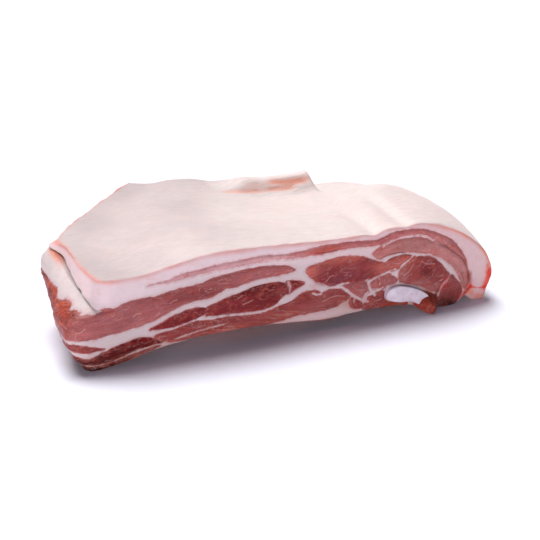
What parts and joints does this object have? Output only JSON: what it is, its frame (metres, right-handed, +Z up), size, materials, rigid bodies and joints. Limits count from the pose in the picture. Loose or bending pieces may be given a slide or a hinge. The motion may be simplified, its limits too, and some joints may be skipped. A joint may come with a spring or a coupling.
{
  "type": "pork belly slab",
  "caption": "Raw pork belly slab with rind, layered fat and lean on its cut face and one rib bone, lying rind up with one end turned down.",
  "frame": {"origin": "on the table, under the middle of the slab's bounding box", "axes": "+X along the slab from its slit end to its turned-down end, +Y from the near cut face with the bone towards the far edge, +Z up through the rind"},
  "size_m": [0.2676, 0.1628, 0.0565],
  "materials": {
    "belly": "moist raw pork, satin rind",
    "bone": "moist cut bone"
  },
  "bodies": {
    "root": {"belly": "belly", "rib_bone": "bone"}
  },
  "joints": []
}
